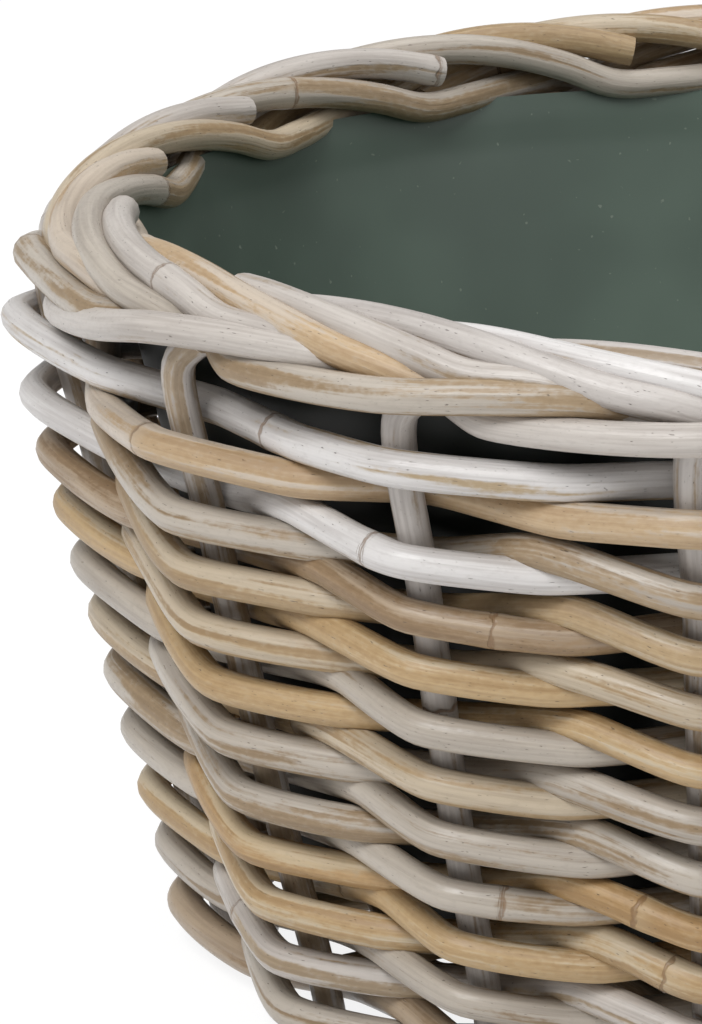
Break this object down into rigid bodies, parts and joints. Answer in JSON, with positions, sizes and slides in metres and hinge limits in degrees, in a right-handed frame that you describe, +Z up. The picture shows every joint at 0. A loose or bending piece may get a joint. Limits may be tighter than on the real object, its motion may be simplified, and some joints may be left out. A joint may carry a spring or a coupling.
{
  "type": "woven planter basket",
  "caption": "Round tapered planter basket woven of thick cane rods in pairs, with a plaited border, a woven floor and a dark plastic liner.",
  "frame": {"origin": "on the floor, on the basket's axis", "axes": "+Z up through the mouth; X and Y lie along the crossed base sticks"},
  "size_m": [0.3352, 0.3352, 0.1739],
  "materials": {
    "stake_cane": "dry grey-brown cane, peeled",
    "pale_cane": "whitewashed weathered cane",
    "honey_cane": "honey-coloured cane with grey weathering",
    "base_cane": "unbleached cane",
    "liner_plastic": "dark green film, slightly creased"
  },
  "bodies": {
    "root": {"stake_01": "stake_cane", "stake_02": "stake_cane", "stake_03": "stake_cane", "stake_04": "stake_cane", "stake_05": "stake_cane", "stake_06": "stake_cane", "stake_07": "stake_cane", "stake_08": "stake_cane", "stake_09": "stake_cane", "stake_10": "stake_cane", "stake_11": "stake_cane", "stake_12": "stake_cane", "stake_13": "stake_cane", "stake_14": "stake_cane", "stake_15": "stake_cane", "stake_16": "stake_cane", "border_rod_01": "pale_cane", "border_rod_02": "pale_cane", "border_rod_03": "pale_cane", "border_rod_04": "pale_cane", "border_rod_05": "pale_cane", "border_rod_06": "pale_cane", "border_rod_07": "pale_cane", "border_rod_08": "pale_cane", "border_rod_09": "pale_cane", "border_rod_10": "pale_cane", "border_rod_11": "pale_cane", "border_rod_12": "pale_cane", "border_rod_13": "pale_cane", "border_rod_14": "pale_cane", "border_rod_15": "pale_cane", "border_rod_16": "pale_cane", "foot_weaver_a": "pale_cane", "foot_weaver_b": "honey_cane", "weaver_01_a": "pale_cane", "weaver_01_b": "honey_cane", "weaver_02_a": "pale_cane", "weaver_02_b": "honey_cane", "weaver_03_a": "pale_cane", "weaver_03_b": "honey_cane", "weaver_04_a": "pale_cane", "weaver_04_b": "honey_cane", "weaver_05_a": "pale_cane", "weaver_05_b": "honey_cane", "weaver_06_a": "pale_cane", "weaver_06_b": "honey_cane", "weaver_07_a": "pale_cane", "weaver_07_b": "honey_cane", "weaver_08_a": "pale_cane", "weaver_08_b": "honey_cane", "weaver_09_a": "pale_cane", "weaver_09_b": "honey_cane", "weaver_10_a": "pale_cane", "weaver_10_b": "honey_cane", "weaver_11_a": "pale_cane", "weaver_11_b": "honey_cane", "base_cross": "base_cane", "base_weaver_a": "base_cane", "base_weaver_b": "base_cane", "liner": "liner_plastic"}
  },
  "joints": []
}
